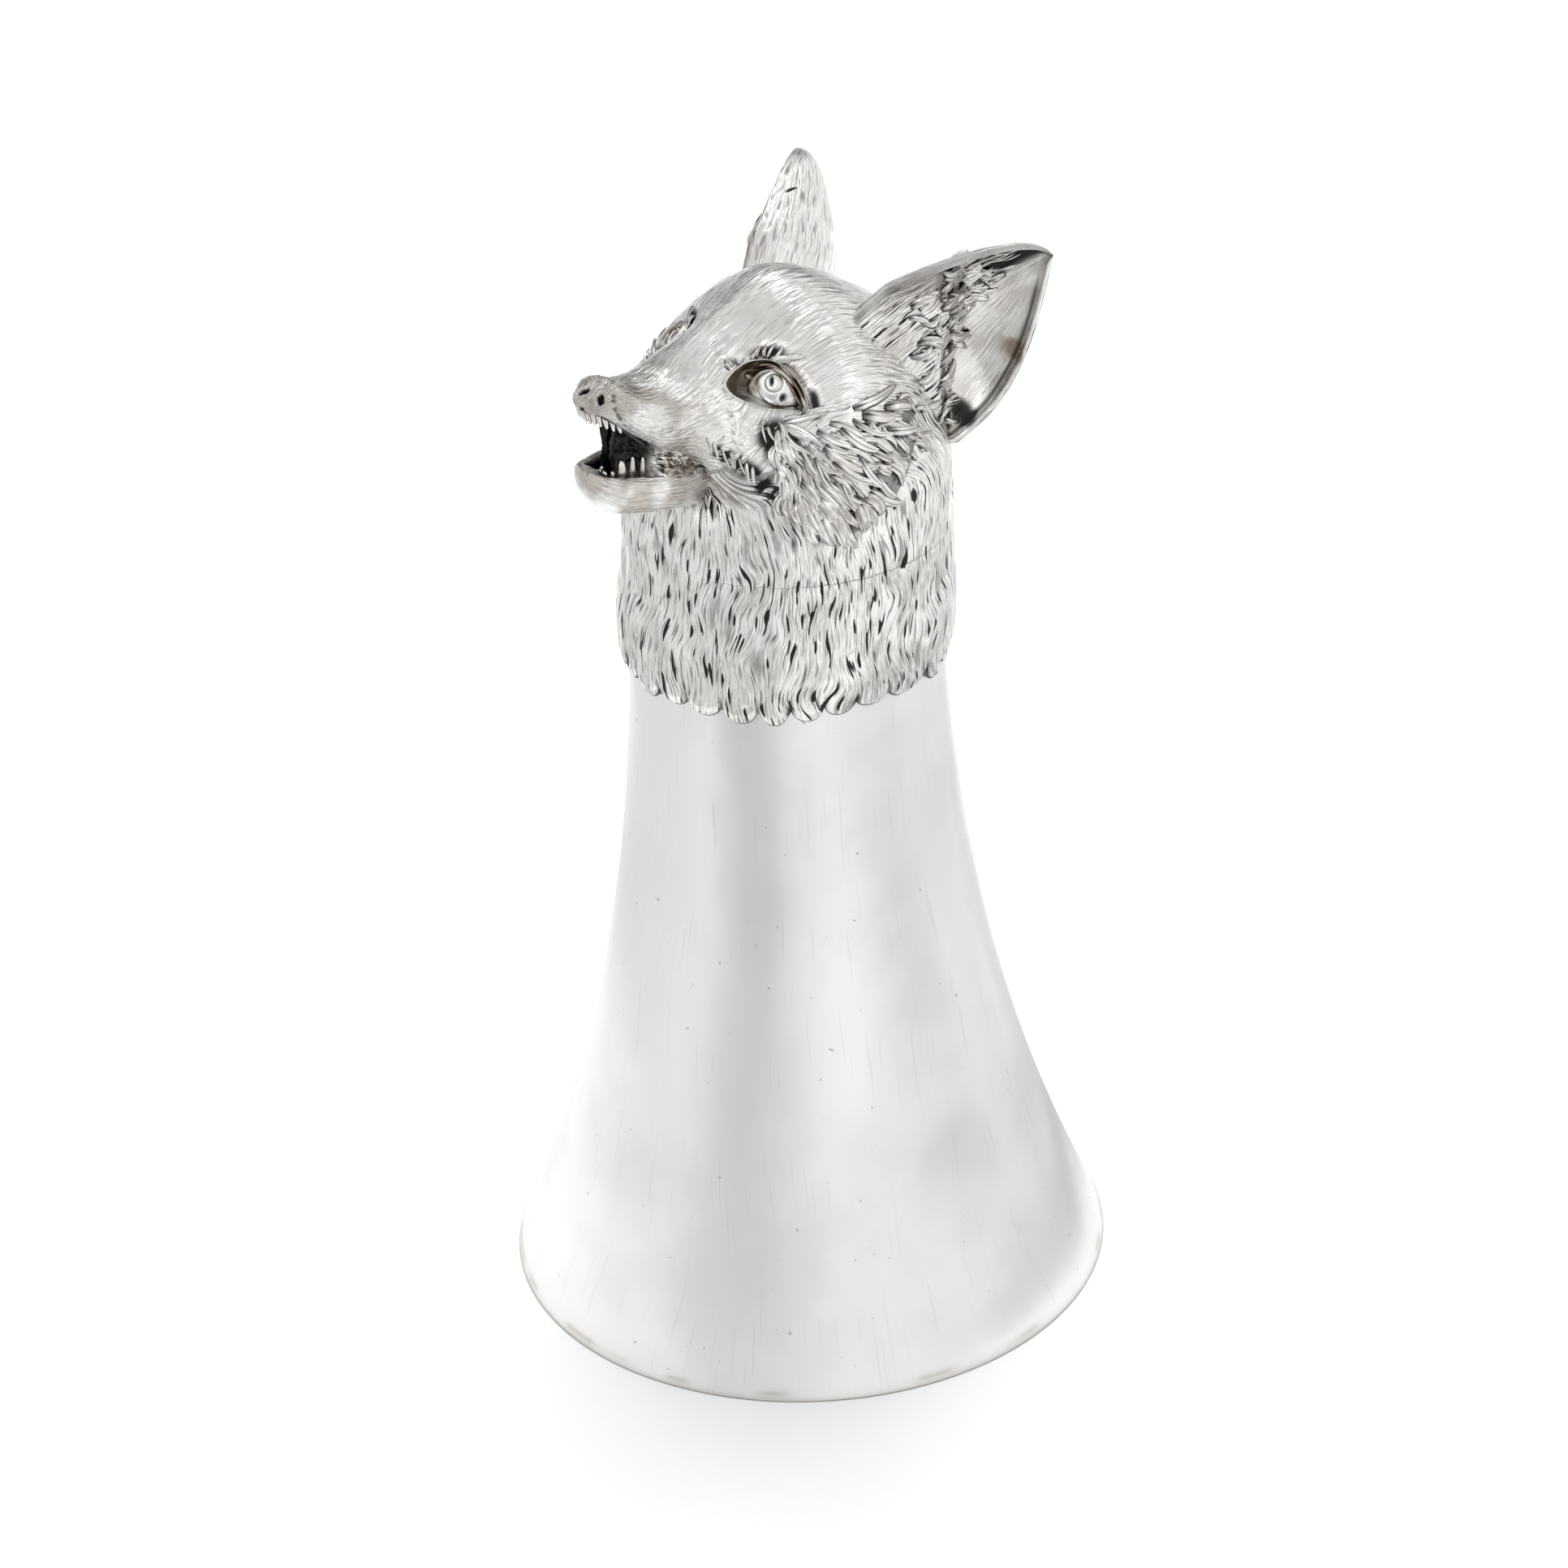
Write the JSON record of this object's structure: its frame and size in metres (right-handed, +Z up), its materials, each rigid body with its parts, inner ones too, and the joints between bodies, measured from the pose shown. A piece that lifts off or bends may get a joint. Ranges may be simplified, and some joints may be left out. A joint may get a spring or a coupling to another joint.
{
  "type": "stirrup cup",
  "caption": "Silver stirrup cup: a flared beaker that stands on its rim, with a snarling fox's head cast in the round on its narrow end.",
  "frame": {"origin": "centre of the rim, on the surface the cup stands on", "axes": "+Z up along the beaker's axis, the fox looks along -Y, its left side is +X"},
  "size_m": [0.076, 0.076, 0.1383],
  "materials": {
    "spun_silver": "polished silver with a soft satin wear",
    "cast_silver": "cast and chased silver, darkened in the grooves",
    "oxidised_silver": "cast silver with a warm tarnish"
  },
  "bodies": {
    "root": {"beaker": "spun_silver", "beaker_floor": "spun_silver", "neck_ruff": "cast_silver", "head": "cast_silver", "lower_jaw": "cast_silver", "left_ear": "cast_silver", "right_ear": "cast_silver", "left_eye": "oxidised_silver", "right_eye": "oxidised_silver", "upper_teeth": "oxidised_silver", "lower_teeth": "oxidised_silver"}
  },
  "joints": []
}
